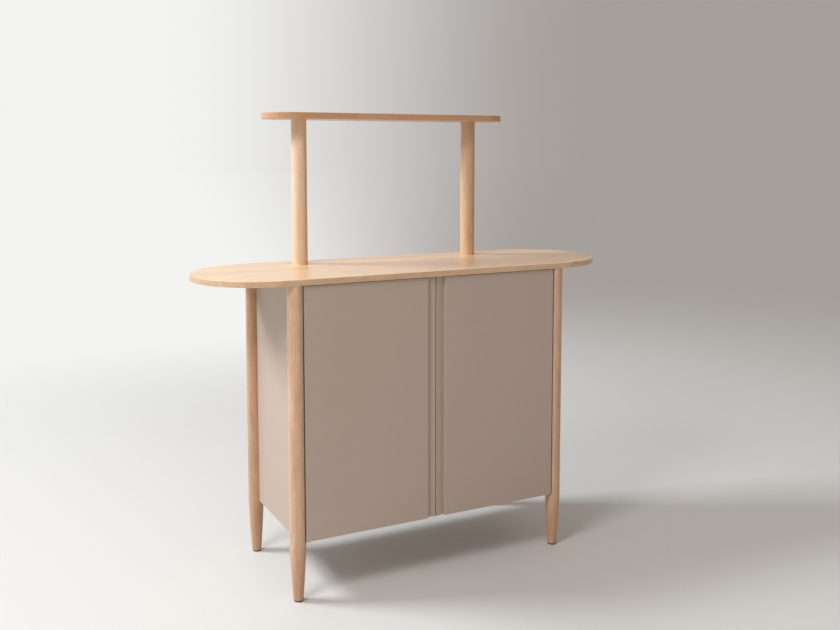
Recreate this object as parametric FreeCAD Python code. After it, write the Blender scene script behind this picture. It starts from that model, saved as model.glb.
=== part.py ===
import FreeCAD, Part
import math
import os

# A bar cabinet: a lacquered two-door cupboard hung between four turned legs, under a worktop
# with half-round ends, and two round posts on the worktop that carry a narrow upper shelf.
# X runs to the right, Y to the back and Z up. The doors face -Y. The origin is on the floor,
# under the centre of the worktop. All sizes are in millimetres.

# Worktop
worktop_length = 1550.0
worktop_depth = 500.0
worktop_thickness = 20.0
worktop_arris = 2.0
worktop_underside = 1038.0

# Turned legs, their taper and the notches that hold the panels
leg_dia = 54.0
leg_spacing_x = 1000.0
leg_inset = 28.0
leg_taper_height = 185.0
leg_taper_mid_height = 95.0
leg_taper_mid_dia = 45.2
leg_foot_dia = 33.0
leg_foot_round = 2.5
leg_door_flat = 17.0
leg_panel_seat = 12.0
leg_dowel_dia = 12.0
leg_dowel_length = 36.0
leg_dowel_rise = 12.0

# Glides under the legs, each with one screw
glide_dia = 30.0
glide_height = 4.0
glide_round = 1.0
glide_recess_dia = 10.0
glide_screw_dia = 4.0
glide_screw_head_dia = 8.0
glide_screw_head_height = 2.0
glide_screw_head_inset = 0.8
glide_screw_length = 20.0

# Posts and upper shelf. The shelf is centred on the posts, flush with the worktop's back edge
post_dia = 55.0
post_spacing = 692.0
post_length = 516.0
upper_shelf_length = 957.0
upper_shelf_depth = 196.0
upper_shelf_thickness = 22.0
upper_shelf_arris = 2.0
post_bolt_dia = 8.0
post_bolt_hole_clearance = 0.5
post_bolt_head_dia = 13.0
post_bolt_head_height = 8.0
post_bolt_grip = 22.0
post_washer_dia = 22.0
post_washer_thickness = 1.6
post_insert_dia = 12.0
post_insert_length = 25.0
shelf_insert_length = 14.0
shelf_stud_rise = 12.0
shelf_stud_drop = 20.0

# Lacquered panels between the legs
carcass_bottom = 195.0
panel_setback = 3.0
panel_arris = 1.0
side_panel_thickness = 16.0
back_panel_thickness = 16.0
bottom_panel_thickness = 18.0
top_panel_thickness = 18.0
partition_thickness = 18.0
panel_dowel_dia = 8.0
panel_dowel_length = 30.0
panel_dowel_bite = 10.0
panel_dowel_inset = 60.0
side_dowel_length = 32.0
side_dowel_bite = 12.0
dowels_in_row = 3
back_screw_dia = 4.0
back_screw_length = 40.0
back_screw_head_dia = 8.0
back_screw_head_height = 2.5
back_screw_inset = 80.0
back_screw_columns = 4
worktop_screw_dia = 4.0
worktop_screw_bite = 12.0
worktop_screw_head_dia = 8.0
worktop_screw_head_height = 3.0
worktop_screw_inset = 50.0

# Loose shelves on pins, one in each half of the cupboard
shelf_thickness = 18.0
shelf_side_gap = 1.0
shelf_front_setback = 25.0
shelf_back_gap = 3.0
shelf_arris = 1.0
shelf_underside = 607.0
shelf_pin_dia = 5.0
shelf_pin_bite = 8.0
shelf_pin_reach = 9.0
shelf_pin_inset = 55.0
shelf_pin_pitch = 32.0
shelf_pin_spare_rows = 2

# Doors and the grip recess where they meet
door_thickness = 22.0
door_front_reach = 21.0
door_leg_gap = 4.5
door_top_gap = 2.0
door_meeting_gap = 3.0
door_back_gap = 5.0
door_arris = 1.0
grip_width = 31.0
grip_depth = 12.5
grip_edge_depth = 6.5
grip_floor_crown = 1.0

# Pivots: a plate, pin, washer and bush below each door, a pin and bush above it
pivot_from_edge = 11.5
pivot_from_front = 10.0
pivot_pin_dia = 5.0
pivot_clearance = 0.05
pivot_bush_dia = 9.0
lower_bush_length = 15.0
lower_pin_rise = 13.0
upper_pin_bite = 20.0
upper_pin_reach = 9.0
upper_bush_length = 12.0
thrust_washer_dia = 9.6
thrust_washer_thickness = 1.0
pivot_plate_thickness = 2.5
pivot_plate_tip_width = 10.0
pivot_plate_width = 24.0
pivot_plate_lap = 50.0
pivot_plate_neck = 3.0
pivot_screw_dia = 3.5
pivot_screw_head_dia = 7.0
pivot_screw_head_height = 1.8
pivot_screw_length = 14.0
pivot_screw_inset = 10.0

# Magnet catches in the top panel, strike discs and buffers on the doors
catch_from_centre = 60.0
catch_drop = 12.0
catch_body_dia = 9.0
catch_body_length = 14.0
catch_flange_dia = 11.0
catch_flange_thickness = 2.0
catch_gap = 0.3
strike_dia = 11.0
strike_stem_dia = 4.0
strike_stem_length = 6.0
buffer_dia = 8.0
buffer_round = 1.0
buffer_gap = 0.3
buffer_from_centre = 30.0
buffer_rise = 11.0

# How far an edge may lie from where it is looked for
edge_tolerance = 0.2

# Places worked out from the sizes above
worktop_top = worktop_underside + worktop_thickness
leg_x = leg_spacing_x / 2
leg_y = worktop_depth / 2 - leg_inset
post_x = post_spacing / 2
post_y = (worktop_depth - upper_shelf_depth) / 2
upper_shelf_underside = worktop_top + post_length
side_outer_x = leg_x - panel_setback
side_inner_x = side_outer_x - side_panel_thickness
side_end_y = leg_y - leg_panel_seat
back_outer_y = leg_y - panel_setback
back_inner_y = back_outer_y - back_panel_thickness
bottom_panel_top = carcass_bottom + bottom_panel_thickness
top_panel_underside = worktop_underside - top_panel_thickness
partition_x = partition_thickness / 2
door_front_y = -leg_y - door_front_reach
door_back_y = door_front_y + door_thickness
carcass_front_y = door_back_y + door_back_gap
door_outer_x = leg_x - leg_door_flat - door_leg_gap
door_inner_x = door_meeting_gap / 2
pivot_x = door_outer_x - pivot_from_edge
pivot_y = door_front_y + pivot_from_front
pivot_plate_top = carcass_bottom + pivot_plate_thickness
door_bottom = pivot_plate_top + thrust_washer_thickness
door_top = worktop_underside - door_top_gap
catch_height = worktop_underside - catch_drop
shelf_front_y = carcass_front_y + shelf_front_setback
shelf_back_y = back_inner_y - shelf_back_gap

V = FreeCAD.Vector
UP = V(0, 0, 1)
SIDES = {"left": -1, "right": 1}
ENDS = {"front": -1, "back": 1}


def block(x, y, z):
    """A box from three (from, to) ranges, each in either order."""
    corner = V(min(x), min(y), min(z))
    return Part.makeBox(max(x) - min(x), max(y) - min(y), max(z) - min(z), corner)


def rod(dia, start, end):
    """A round bar from one point to another."""
    run = V(*end) - V(*start)
    return Part.makeCylinder(dia / 2, run.Length, V(*start), run)


def tube(outer_dia, inner_dia, start, end):
    """A round bar with a through bore."""
    return rod(outer_dia, start, end).cut(rod(inner_dia, start, end))


def countersunk_screw(dia, head_dia, head_height, length, start, way):
    """A screw with a conical head flush at start, pointing along way."""
    head = Part.makeCone(head_dia / 2, dia / 2, head_height, V(*start), way)
    shank = Part.makeCylinder(dia / 2, length, V(*start), way)
    return head.fuse(shank).removeSplitter()


def headed_screw(dia, head_dia, head_height, seat, tip):
    """A screw whose head lies behind seat and whose tip is at tip."""
    way = (V(*tip) - V(*seat)).normalize()
    back = V(*seat) - way * head_height
    head = Part.makeCylinder(head_dia / 2, head_height, back, way)
    return head.fuse(rod(dia, seat, tip)).removeSplitter()


def oval_board(length, depth, thickness, arris, centre_y, underside):
    """A board with half-round ends and softened rims."""
    radius = depth / 2
    straight = length / 2 - radius
    front, back = centre_y - radius, centre_y + radius
    left, right = V(-straight, front, underside), V(straight, front, underside)
    left_back, right_back = V(-straight, back, underside), V(straight, back, underside)
    edges = [
        Part.LineSegment(left, right).toShape(),
        Part.Arc(right, V(length / 2, centre_y, underside), right_back).toShape(),
        Part.LineSegment(right_back, left_back).toShape(),
        Part.Arc(left_back, V(-length / 2, centre_y, underside), left).toShape(),
    ]
    board = Part.Face(Part.Wire(edges)).extrude(V(0, 0, thickness))
    levels = (underside, underside + thickness)
    rims = [e for e in board.Edges if lies_flat(e) and near_any(e.CenterOfMass.z, levels)]
    return board.makeFillet(arris, rims)


def lies_flat(edge):
    """True if an edge keeps one height."""
    return edge.BoundBox.ZLength < edge.Length / 2


def near_any(value, levels):
    """True if a value is one of some levels."""
    return any(abs(value - level) < edge_tolerance for level in levels)


def softened(shape, radius, chosen):
    """A shape with its chosen edges rounded."""
    return shape.makeFillet(radius, [e for e in shape.Edges if chosen(e)])


def along(edge, axis):
    """True if a straight edge runs along the axis named x, y or z."""
    box = edge.BoundBox
    size = {"x": box.XLength, "y": box.YLength, "z": box.ZLength}
    return edge.Length - size[axis] < edge_tolerance


def spread(low, high, count):
    """Evenly spaced places from low to high."""
    return [low + (high - low) * i / (count - 1) for i in range(count)]


def leg_outline():
    """Half of a leg's section: rounded foot, slender taper and straight shaft."""
    foot, shaft = leg_foot_dia / 2, leg_dia / 2
    heel = V(foot - leg_foot_round, 0, glide_height)
    ankle = V(foot, 0, glide_height + leg_foot_round)
    turn = leg_foot_round * math.sqrt(0.5)
    middle = V(heel.x + turn, 0, ankle.z - turn)
    calf = V(leg_taper_mid_dia / 2, 0, leg_taper_mid_height)
    knee = V(shaft, 0, leg_taper_height)
    top = V(shaft, 0, worktop_underside)
    core_top, core_foot = V(0, 0, worktop_underside), V(0, 0, glide_height)
    edges = [
        Part.LineSegment(core_foot, heel).toShape(),
        Part.Arc(heel, middle, ankle).toShape(),
        Part.Arc(ankle, calf, knee).toShape(),
        Part.LineSegment(knee, top).toShape(),
        Part.LineSegment(top, core_top).toShape(),
        Part.LineSegment(core_top, core_foot).toShape(),
    ]
    return Part.Face(Part.Wire(edges))


def leg_notches(side, end):
    """What is cut from a leg above the cupboard's underside for the panels and the door."""
    inner = side * (leg_x - leg_dia)
    middle = end * (leg_y - leg_dia)
    height = (carcass_bottom, worktop_underside)
    side_seat = block((side * side_outer_x, inner), (end * side_end_y, middle), height)
    if end == ENDS["back"]:
        back_seat = block((side * side_inner_x, inner), (back_outer_y, middle), height)
        return [side_seat, back_seat]
    outside = end * (leg_y + leg_dia)
    flat_x = side * (leg_x - leg_door_flat)
    return [side_seat, block((flat_x, inner), (outside, middle), height)]


def leg(side, end, fittings):
    """One turned leg at its corner, notched above the cupboard's underside."""
    turned = leg_outline().revolve(V(0, 0, 0), UP, 360)
    turned.translate(V(side * leg_x, end * leg_y, 0))
    return turned.cut(leg_notches(side, end) + fittings)


def glide(side, end, screw):
    """A round plastic glide with a recess for its screw's head."""
    x, y = side * leg_x, end * leg_y
    puck = rod(glide_dia, (x, y, 0), (x, y, glide_height))
    puck = softened(puck, glide_round, lambda e: e.BoundBox.ZMax < glide_round)
    recess_top = glide_screw_head_inset + glide_screw_head_height
    recess = rod(glide_recess_dia, (x, y, 0), (x, y, recess_top))
    return puck.cut([recess, screw])


def glide_screw(side, end):
    """The screw that holds a glide to its leg."""
    x, y = side * leg_x, end * leg_y
    seat = glide_screw_head_inset + glide_screw_head_height
    tip = (x, y, seat + glide_screw_length)
    return headed_screw(
        glide_screw_dia, glide_screw_head_dia, glide_screw_head_height, (x, y, seat), tip
    )


def leg_dowel(side, end):
    """The dowel between a leg's top and the worktop."""
    x, y = side * leg_x, end * leg_y
    top = worktop_underside + leg_dowel_rise
    return rod(leg_dowel_dia, (x, y, top - leg_dowel_length), (x, y, top))


def side_dowels(side, end):
    """Three dowels between a side panel's end and a leg."""
    x = side * (side_outer_x - side_panel_thickness / 2)
    start = side_end_y + side_dowel_bite
    low, high = carcass_bottom + panel_dowel_inset, worktop_underside - panel_dowel_inset
    finish = start - side_dowel_length
    return [
        rod(panel_dowel_dia, (x, end * start, z), (x, end * finish, z))
        for z in spread(low, high, dowels_in_row)
    ]


def panel_end_dowels(side, middle_height):
    """Three dowels between a side panel and one end of the bottom or top panel."""
    start = side * (side_inner_x + panel_dowel_bite)
    finish = side * (side_inner_x + panel_dowel_bite - panel_dowel_length)
    low, high = carcass_front_y + panel_dowel_inset, back_inner_y - panel_dowel_inset
    return [
        rod(panel_dowel_dia, (start, y, middle_height), (finish, y, middle_height))
        for y in spread(low, high, dowels_in_row)
    ]


def partition_dowels(level, into_partition):
    """Three dowels between the partition and the bottom or top panel."""
    low, high = carcass_front_y + panel_dowel_inset, back_inner_y - panel_dowel_inset
    start = level - into_partition * panel_dowel_bite
    finish = start + into_partition * panel_dowel_length
    return [
        rod(panel_dowel_dia, (0, y, start), (0, y, finish))
        for y in spread(low, high, dowels_in_row)
    ]


def back_screws():
    """Countersunk screws through the back panel into the bottom and top panels and partition."""
    bottom_middle = (carcass_bottom + bottom_panel_top) / 2
    top_middle = (top_panel_underside + worktop_underside) / 2
    reach = side_inner_x - back_screw_inset
    places = [(x, z) for x in spread(-reach, reach, back_screw_columns)
              for z in (bottom_middle, top_middle)]
    low, high = carcass_bottom + back_screw_inset, worktop_underside - back_screw_inset
    places += [(0, z) for z in spread(low, high, dowels_in_row)]
    return [
        countersunk_screw(
            back_screw_dia, back_screw_head_dia, back_screw_head_height, back_screw_length,
            (x, back_outer_y, z), V(0, -1, 0),
        )
        for x, z in places
    ]


def worktop_screws():
    """Screws up through the top panel into the worktop."""
    outer = side_inner_x - worktop_screw_inset
    inner = partition_x + worktop_screw_inset
    front, back = carcass_front_y + worktop_screw_inset, back_inner_y - worktop_screw_inset
    tip = worktop_underside + worktop_screw_bite
    return [
        headed_screw(
            worktop_screw_dia, worktop_screw_head_dia, worktop_screw_head_height,
            (x, y, top_panel_underside), (x, y, tip),
        )
        for x in (-outer, -inner, inner, outer)
        for y in (front, back)
    ]


def post_bolt(side):
    """The bolt that holds a post, up through the top panel and the worktop."""
    x = side * post_x
    seat = top_panel_underside - post_washer_thickness
    return headed_screw(
        post_bolt_dia, post_bolt_head_dia, post_bolt_head_height,
        (x, post_y, seat), (x, post_y, worktop_top + post_bolt_grip),
    )


def post_washer(side):
    """The washer under a post bolt's head."""
    x = side * post_x
    seat = top_panel_underside - post_washer_thickness
    return tube(post_washer_dia, post_bolt_dia, (x, post_y, seat), (x, post_y, top_panel_underside))


def post_bolt_hole(side):
    """The clearance hole for a post bolt."""
    x = side * post_x
    dia = post_bolt_dia + 2 * post_bolt_hole_clearance
    return rod(dia, (x, post_y, top_panel_underside), (x, post_y, worktop_top))


def insert(side, low, high):
    """A threaded insert on a post's axis between two heights."""
    x = side * post_x
    return tube(post_insert_dia, post_bolt_dia, (x, post_y, low), (x, post_y, high))


def insert_seat(side, low, high):
    """The bore that an insert fills."""
    x = side * post_x
    return rod(post_insert_dia, (x, post_y, low), (x, post_y, high))


def shelf_stud(side):
    """The stud between a post's top and the upper shelf."""
    x = side * post_x
    low = upper_shelf_underside - shelf_stud_drop
    high = upper_shelf_underside + shelf_stud_rise
    return rod(post_bolt_dia, (x, post_y, low), (x, post_y, high))


def post(side):
    """A round post with a threaded insert's bore in each end."""
    x = side * post_x
    bar = rod(post_dia, (x, post_y, worktop_top), (x, post_y, upper_shelf_underside))
    base = insert_seat(side, worktop_top, worktop_top + post_insert_length)
    head = insert_seat(side, upper_shelf_underside - post_insert_length, upper_shelf_underside)
    return bar.cut([base, head])


def shelf_pin_places(side, wall_x):
    """Every pin hole's (x, y) on one wall: wall_x is the wall's face, side tells its cupboard half."""
    front, back = shelf_front_y + shelf_pin_inset, shelf_back_y - shelf_pin_inset
    return [(side * wall_x, y) for y in (front, back)]


def shelf_pins(side):
    """Four pins under one loose shelf."""
    z = shelf_underside - shelf_pin_dia / 2
    pins = []
    for wall, inward in ((side_inner_x, -1), (partition_x, 1)):
        for x, y in shelf_pin_places(side, wall):
            start = (x - side * inward * shelf_pin_bite, y, z)
            pins.append(rod(shelf_pin_dia, start, (x + side * inward * shelf_pin_reach, y, z)))
    return pins


def pin_holes(side, wall, inward):
    """The rows of pin holes in one wall, spare rows included."""
    z = shelf_underside - shelf_pin_dia / 2
    rows = range(-shelf_pin_spare_rows, shelf_pin_spare_rows + 1)
    return [
        rod(shelf_pin_dia, (x, y, z + row * shelf_pin_pitch),
            (x - side * inward * shelf_pin_bite, y, z + row * shelf_pin_pitch))
        for x, y in shelf_pin_places(side, wall)
        for row in rows
    ]


def side_panel(side, fittings):
    """A lacquered side panel, set between a front and a back leg."""
    panel = block(
        (side * side_outer_x, side * side_inner_x),
        (-side_end_y, side_end_y),
        (carcass_bottom, worktop_underside),
    )
    low = carcass_bottom + panel_arris
    panel = softened(panel, panel_arris, lambda e: along(e, "y") and e.BoundBox.ZMax < low)
    return panel.cut(pin_holes(side, side_inner_x, -1) + fittings)


def back_panel(fittings):
    """The lacquered back panel, set between the back legs."""
    panel = block(
        (-side_inner_x, side_inner_x), (back_outer_y, back_inner_y), (carcass_bottom, worktop_underside)
    )
    return panel.cut(fittings)


def level_panel(low, high, fittings):
    """The bottom or the top panel, with softened front edges."""
    panel = block((-side_inner_x, side_inner_x), (carcass_front_y, back_inner_y), (low, high))
    front = carcass_front_y + panel_arris
    panel = softened(panel, panel_arris, lambda e: along(e, "x") and e.BoundBox.YMax < front)
    return panel.cut(fittings)


def partition(fittings):
    """The upright between the two halves of the cupboard."""
    panel = block(
        (-partition_x, partition_x),
        (carcass_front_y, back_inner_y),
        (bottom_panel_top, top_panel_underside),
    )
    front = carcass_front_y + panel_arris
    panel = softened(panel, panel_arris, lambda e: along(e, "z") and e.BoundBox.YMax < front)
    holes = pin_holes(-1, partition_x, 1) + pin_holes(1, partition_x, 1)
    return panel.cut(holes + fittings)


def loose_shelf(side):
    """A loose shelf that lies on four pins."""
    shelf = block(
        (side * (side_inner_x - shelf_side_gap), side * (partition_x + shelf_side_gap)),
        (shelf_front_y, shelf_back_y),
        (shelf_underside, shelf_underside + shelf_thickness),
    )
    front = shelf_front_y + shelf_arris
    return softened(shelf, shelf_arris, lambda e: along(e, "x") and e.BoundBox.YMax < front)


def door_outline(side):
    """A door's section seen from above. Its grip recess is scooped, deepest at its wall."""
    grip_x = door_inner_x + grip_width
    corners = [
        (door_inner_x, door_front_y + grip_edge_depth),
        (door_inner_x, door_back_y),
        (door_outer_x, door_back_y),
        (door_outer_x, door_front_y),
        (grip_x, door_front_y),
        (grip_x, door_front_y + grip_depth),
    ]
    points = [V(side * x, y, door_bottom) for x, y in corners]
    edges = [Part.LineSegment(a, b).toShape() for a, b in zip(points, points[1:])]
    crown = (points[0] + points[-1]) / 2 - V(0, grip_floor_crown, 0)
    edges.append(Part.Arc(points[-1], crown, points[0]).toShape())
    return Part.Face(Part.Wire(edges))


def door(side, fittings):
    """A lacquered door with softened edges, apart from the inner corner of its recess."""
    leaf = door_outline(side).extrude(V(0, 0, door_top - door_bottom))
    inner = V(side * (door_inner_x + grip_width), door_front_y + grip_depth, 0)

    def outside(edge):
        middle = edge.CenterOfMass
        return math.hypot(middle.x - inner.x, middle.y - inner.y) > door_arris

    return softened(leaf, door_arris, outside).cut(fittings)


def pivot_plate_outline(side):
    """The plate's tip round the pin and its wider foot under the bottom panel."""
    x = side * pivot_x
    height = (carcass_bottom, pivot_plate_top)
    tip = pivot_plate_tip_width / 2
    foot = pivot_plate_width / 2
    foot_front = carcass_front_y + pivot_plate_neck
    round_tip = rod(
        pivot_plate_tip_width, (x, pivot_y, carcass_bottom), (x, pivot_y, pivot_plate_top)
    )
    neck = block((x - tip, x + tip), (pivot_y, foot_front + pivot_plate_neck), height)
    back = foot_front + pivot_plate_lap
    return round_tip.fuse([neck, block((x - foot, x + foot), (foot_front, back), height)])


def pivot_screws(side):
    """The two countersunk screws that hold a pivot plate."""
    foot_front = carcass_front_y + pivot_plate_neck
    rows = (foot_front + pivot_screw_inset, foot_front + pivot_plate_lap - pivot_screw_inset)
    return [
        countersunk_screw(
            pivot_screw_dia, pivot_screw_head_dia, pivot_screw_head_height, pivot_screw_length,
            (side * pivot_x, y, carcass_bottom), UP,
        )
        for y in rows
    ]


def pivot_rod(side, dia, low, high):
    """A round bar on a door's pivot axis."""
    x = side * pivot_x
    return rod(dia, (x, pivot_y, low), (x, pivot_y, high))


def pivot_ring(side, dia, low, high):
    """A bush or washer that turns on a pivot pin with running clearance."""
    bore = pivot_rod(side, pivot_pin_dia + 2 * pivot_clearance, low, high)
    return pivot_rod(side, dia, low, high).cut(bore)


def upper_bush_seat(side):
    """The worktop's blind bore for an upper bush."""
    top = worktop_underside + upper_bush_length
    return pivot_rod(side, pivot_bush_dia, worktop_underside, top)


def catch(side):
    """A round magnet catch pressed into the top panel's front edge."""
    x = side * catch_from_centre
    face = carcass_front_y - catch_flange_thickness
    body_end = carcass_front_y + catch_body_length
    flange = rod(catch_flange_dia, (x, face, catch_height), (x, carcass_front_y, catch_height))
    body = rod(catch_body_dia, (x, carcass_front_y, catch_height), (x, body_end, catch_height))
    return flange.fuse(body).removeSplitter()


def catch_seat(side):
    """The bore for a catch's body."""
    x = side * catch_from_centre
    body_end = carcass_front_y + catch_body_length
    return rod(catch_body_dia, (x, carcass_front_y, catch_height), (x, body_end, catch_height))


def strike(side):
    """The steel disc on a door's back that the magnet holds, with its pressed-in stem."""
    x = side * catch_from_centre
    face = carcass_front_y - catch_flange_thickness - catch_gap
    disc = rod(strike_dia, (x, door_back_y, catch_height), (x, face, catch_height))
    stem_end = door_back_y - strike_stem_length
    stem = rod(strike_stem_dia, (x, stem_end, catch_height), (x, door_back_y, catch_height))
    return disc.fuse(stem).removeSplitter()


def buffers(side):
    """Two clear buffers on a door's back, one at the bottom and one at the top."""
    x = side * buffer_from_centre
    face = carcass_front_y - buffer_gap
    pads = []
    for z in (carcass_bottom + buffer_rise, catch_height):
        pad = rod(buffer_dia, (x, door_back_y, z), (x, face, z))
        rim = face - buffer_round
        pads.append(softened(pad, buffer_round, lambda e: e.BoundBox.YMin > rim))
    return pads


def worktop(fittings):
    """The oval worktop with its blind bores."""
    board = oval_board(
        worktop_length, worktop_depth, worktop_thickness, worktop_arris, 0, worktop_underside
    )
    return board.cut(fittings)


def upper_shelf(fittings):
    """The oval upper shelf with its blind bores."""
    board = oval_board(
        upper_shelf_length, upper_shelf_depth, upper_shelf_thickness, upper_shelf_arris,
        post_y, upper_shelf_underside,
    )
    return board.cut(fittings)


def group(shapes):
    """Several separate solids kept as one node."""
    return Part.makeCompound(shapes)


def frame_nodes():
    """The worktop, legs and glides, with what joins them, and the lacquered panels."""
    corners = [(s, e) for s in SIDES.values() for e in ENDS.values()]
    screws = {corner: glide_screw(*corner) for corner in corners}
    tops = {corner: leg_dowel(*corner) for corner in corners}
    sides = {corner: side_dowels(*corner) for corner in corners}
    bottom_middle = (carcass_bottom + bottom_panel_top) / 2
    top_middle = (top_panel_underside + worktop_underside) / 2
    bottom_ends = {s: panel_end_dowels(s, bottom_middle) for s in SIDES.values()}
    top_ends = {s: panel_end_dowels(s, top_middle) for s in SIDES.values()}
    uprights = partition_dowels(bottom_panel_top, 1), partition_dowels(top_panel_underside, -1)
    through_back = back_screws()
    into_worktop = worktop_screws()
    bolts = {s: post_bolt_hole(s) for s in SIDES.values()}
    plates = {s: pivot_plate_outline(s) for s in SIDES.values()}
    plate_screws = {s: pivot_screws(s) for s in SIDES.values()}
    bushes = [upper_bush_seat(s) for s in SIDES.values()]
    catches = [catch_seat(s) for s in SIDES.values()]

    nodes = {
        "worktop": worktop([*tops.values(), *into_worktop, *bolts.values(), *bushes]),
        "glide_screws": group(list(screws.values())),
        "leg_dowels": group(list(tops.values())),
        "side_panel_dowels": group([d for rows in sides.values() for d in rows]),
        "carcass_dowels": group(
            [d for rows in (*bottom_ends.values(), *top_ends.values()) for d in rows]
        ),
        "partition_dowels": group([*uprights[0], *uprights[1]]),
        "back_panel_screws": group(through_back),
        "worktop_screws": group(into_worktop),
        "pivot_plate_screws": group([d for rows in plate_screws.values() for d in rows]),
        "back_panel": back_panel(through_back),
        "centre_partition": partition([*uprights[0], *uprights[1], *through_back]),
    }
    for side_name, s in SIDES.items():
        for end_name, e in ENDS.items():
            corner = s, e
            name = f"{end_name}_{side_name}"
            nodes["leg_" + name] = leg(s, e, [screws[corner], tops[corner], *sides[corner]])
            nodes["glide_" + name] = glide(s, e, screws[corner])
        joined = [*sides[s, -1], *sides[s, 1], *bottom_ends[s], *top_ends[s]]
        nodes["side_panel_" + side_name] = side_panel(s, joined)
        plate = plates[s].removeSplitter()
        pin = pivot_rod(s, pivot_pin_dia, carcass_bottom, pivot_plate_top)
        nodes["pivot_plate_" + side_name] = plate.cut([pin, *plate_screws[s]])
    ends = [d for rows in bottom_ends.values() for d in rows]
    screws_below = [d for rows in plate_screws.values() for d in rows]
    nodes["bottom_panel"] = level_panel(
        carcass_bottom, bottom_panel_top,
        [*ends, *uprights[0], *through_back, *plates.values(), *screws_below],
    )
    ends = [d for rows in top_ends.values() for d in rows]
    nodes["top_panel"] = level_panel(
        top_panel_underside, worktop_underside,
        [*ends, *uprights[1], *through_back, *into_worktop, *bolts.values(), *catches],
    )
    return nodes


def post_nodes():
    """The posts, the upper shelf and what joins them."""
    shelf_seats = []
    nodes = {}
    groups = {"post_bolts": [], "post_washers": [], "post_base_inserts": [],
              "post_top_inserts": [], "upper_shelf_inserts": [], "upper_shelf_studs": []}
    for name, s in SIDES.items():
        base_top = worktop_top + post_insert_length
        head_low = upper_shelf_underside - post_insert_length
        shelf_high = upper_shelf_underside + shelf_insert_length
        nodes["post_" + name] = post(s)
        groups["post_bolts"].append(post_bolt(s))
        groups["post_washers"].append(post_washer(s))
        groups["post_base_inserts"].append(insert(s, worktop_top, base_top))
        groups["post_top_inserts"].append(insert(s, head_low, upper_shelf_underside))
        groups["upper_shelf_inserts"].append(insert(s, upper_shelf_underside, shelf_high))
        groups["upper_shelf_studs"].append(shelf_stud(s))
        shelf_seats.append(insert_seat(s, upper_shelf_underside, shelf_high))
    nodes["upper_shelf"] = upper_shelf(shelf_seats)
    return {**nodes, **{name: group(shapes) for name, shapes in groups.items()}}


def door_nodes():
    """Both doors with their pivots, catches, strikes and buffers, and the loose shelves."""
    nodes = {}
    for name, s in SIDES.items():
        lower_bush_top = door_bottom + lower_bush_length
        pin_foot = door_top - upper_pin_bite
        bores = [
            pivot_rod(s, pivot_bush_dia, door_bottom, lower_bush_top),
            pivot_rod(s, pivot_pin_dia, pin_foot, door_top),
            strike(s),
        ]
        upper_bush_top = worktop_underside + upper_bush_length
        pin_top = worktop_underside + upper_pin_reach
        nodes["door_" + name] = door(s, bores)
        nodes["lower_bush_" + name] = pivot_ring(s, pivot_bush_dia, door_bottom, lower_bush_top)
        nodes["upper_pin_" + name] = pivot_rod(s, pivot_pin_dia, pin_foot, pin_top)
        nodes["upper_bush_" + name] = pivot_ring(s, pivot_bush_dia, worktop_underside, upper_bush_top)
        nodes["lower_pin_" + name] = pivot_rod(
            s, pivot_pin_dia, carcass_bottom, door_bottom + lower_pin_rise
        )
        nodes["thrust_washer_" + name] = pivot_ring(
            s, thrust_washer_dia, pivot_plate_top, door_bottom
        )
        nodes["catch_" + name] = catch(s)
        nodes["strike_" + name] = strike(s)
        nodes["door_buffers_" + name] = group(buffers(s))
        nodes["shelf_" + name] = loose_shelf(s)
        nodes["shelf_pins_" + name] = group(shelf_pins(s))
    return nodes


def main():
    """Writes one STEP file for each node."""
    os.makedirs("parts", exist_ok=True)
    nodes = {**frame_nodes(), **post_nodes(), **door_nodes()}
    for name, shape in sorted(nodes.items()):
        solids = shape.Solids
        if not solids or not shape.isValid():
            raise ValueError(f"{name} is not a valid solid")
        shape.exportStep(f"parts/{name}.step")
        box = shape.BoundBox
        print(f"{name}: {len(solids)} solids, {shape.Volume / 1000:.2f} cm3, "
              f"z {box.ZMin:.1f} to {box.ZMax:.1f}")
    print(len(nodes), "nodes")


main()
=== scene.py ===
# %% [markdown]
# A bar cabinet, dressed. The real one is a lacquered cupboard hung between four turned oak legs,
# under an oak worktop with half-round ends, and two oak posts carry a narrow upper shelf.
# Its construction comes ready-made as a fixed frame: every board, leg, pin and screw is there at
# its real size. This lesson gives each of them the surface of the real one, and models again
# the small fittings whose look needs more than their plain outline.

# %% Load the construction
import math

import bmesh
import bpy
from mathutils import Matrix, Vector


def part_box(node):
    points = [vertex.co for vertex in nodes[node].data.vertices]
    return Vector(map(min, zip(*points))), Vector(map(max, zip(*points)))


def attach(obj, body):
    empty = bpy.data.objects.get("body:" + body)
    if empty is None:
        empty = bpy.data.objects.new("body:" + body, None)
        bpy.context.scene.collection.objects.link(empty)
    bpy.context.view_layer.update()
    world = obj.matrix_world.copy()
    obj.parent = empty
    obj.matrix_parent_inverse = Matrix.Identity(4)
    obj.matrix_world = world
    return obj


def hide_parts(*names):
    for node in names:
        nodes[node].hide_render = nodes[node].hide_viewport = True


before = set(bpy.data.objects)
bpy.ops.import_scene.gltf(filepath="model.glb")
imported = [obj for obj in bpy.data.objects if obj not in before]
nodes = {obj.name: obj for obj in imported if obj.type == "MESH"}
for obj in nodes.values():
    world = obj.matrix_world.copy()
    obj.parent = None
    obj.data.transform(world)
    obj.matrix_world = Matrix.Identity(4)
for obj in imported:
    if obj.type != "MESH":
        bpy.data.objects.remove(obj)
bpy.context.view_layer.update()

bpy.ops.object.select_all(action="DESELECT")

# %% [markdown]
# The camera comes first, because everything is judged through it. The photograph was taken by a
# level camera with its film shifted down. Other views keep the shift, and a large one would
# cut off the upper shelf there, so this camera shifts less and tips down a little instead. That
# moves no corner of the object by more than five pixels.

# %% Camera
photo_width = 840
camera_place = Vector((-1.5285, -3.0886, 1.4694))
camera_heading = math.radians(27.22)
camera_dip = math.radians(4.89)
focal_pixels = 959.2
film_width = 36.0
film_shift = -0.1

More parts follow.
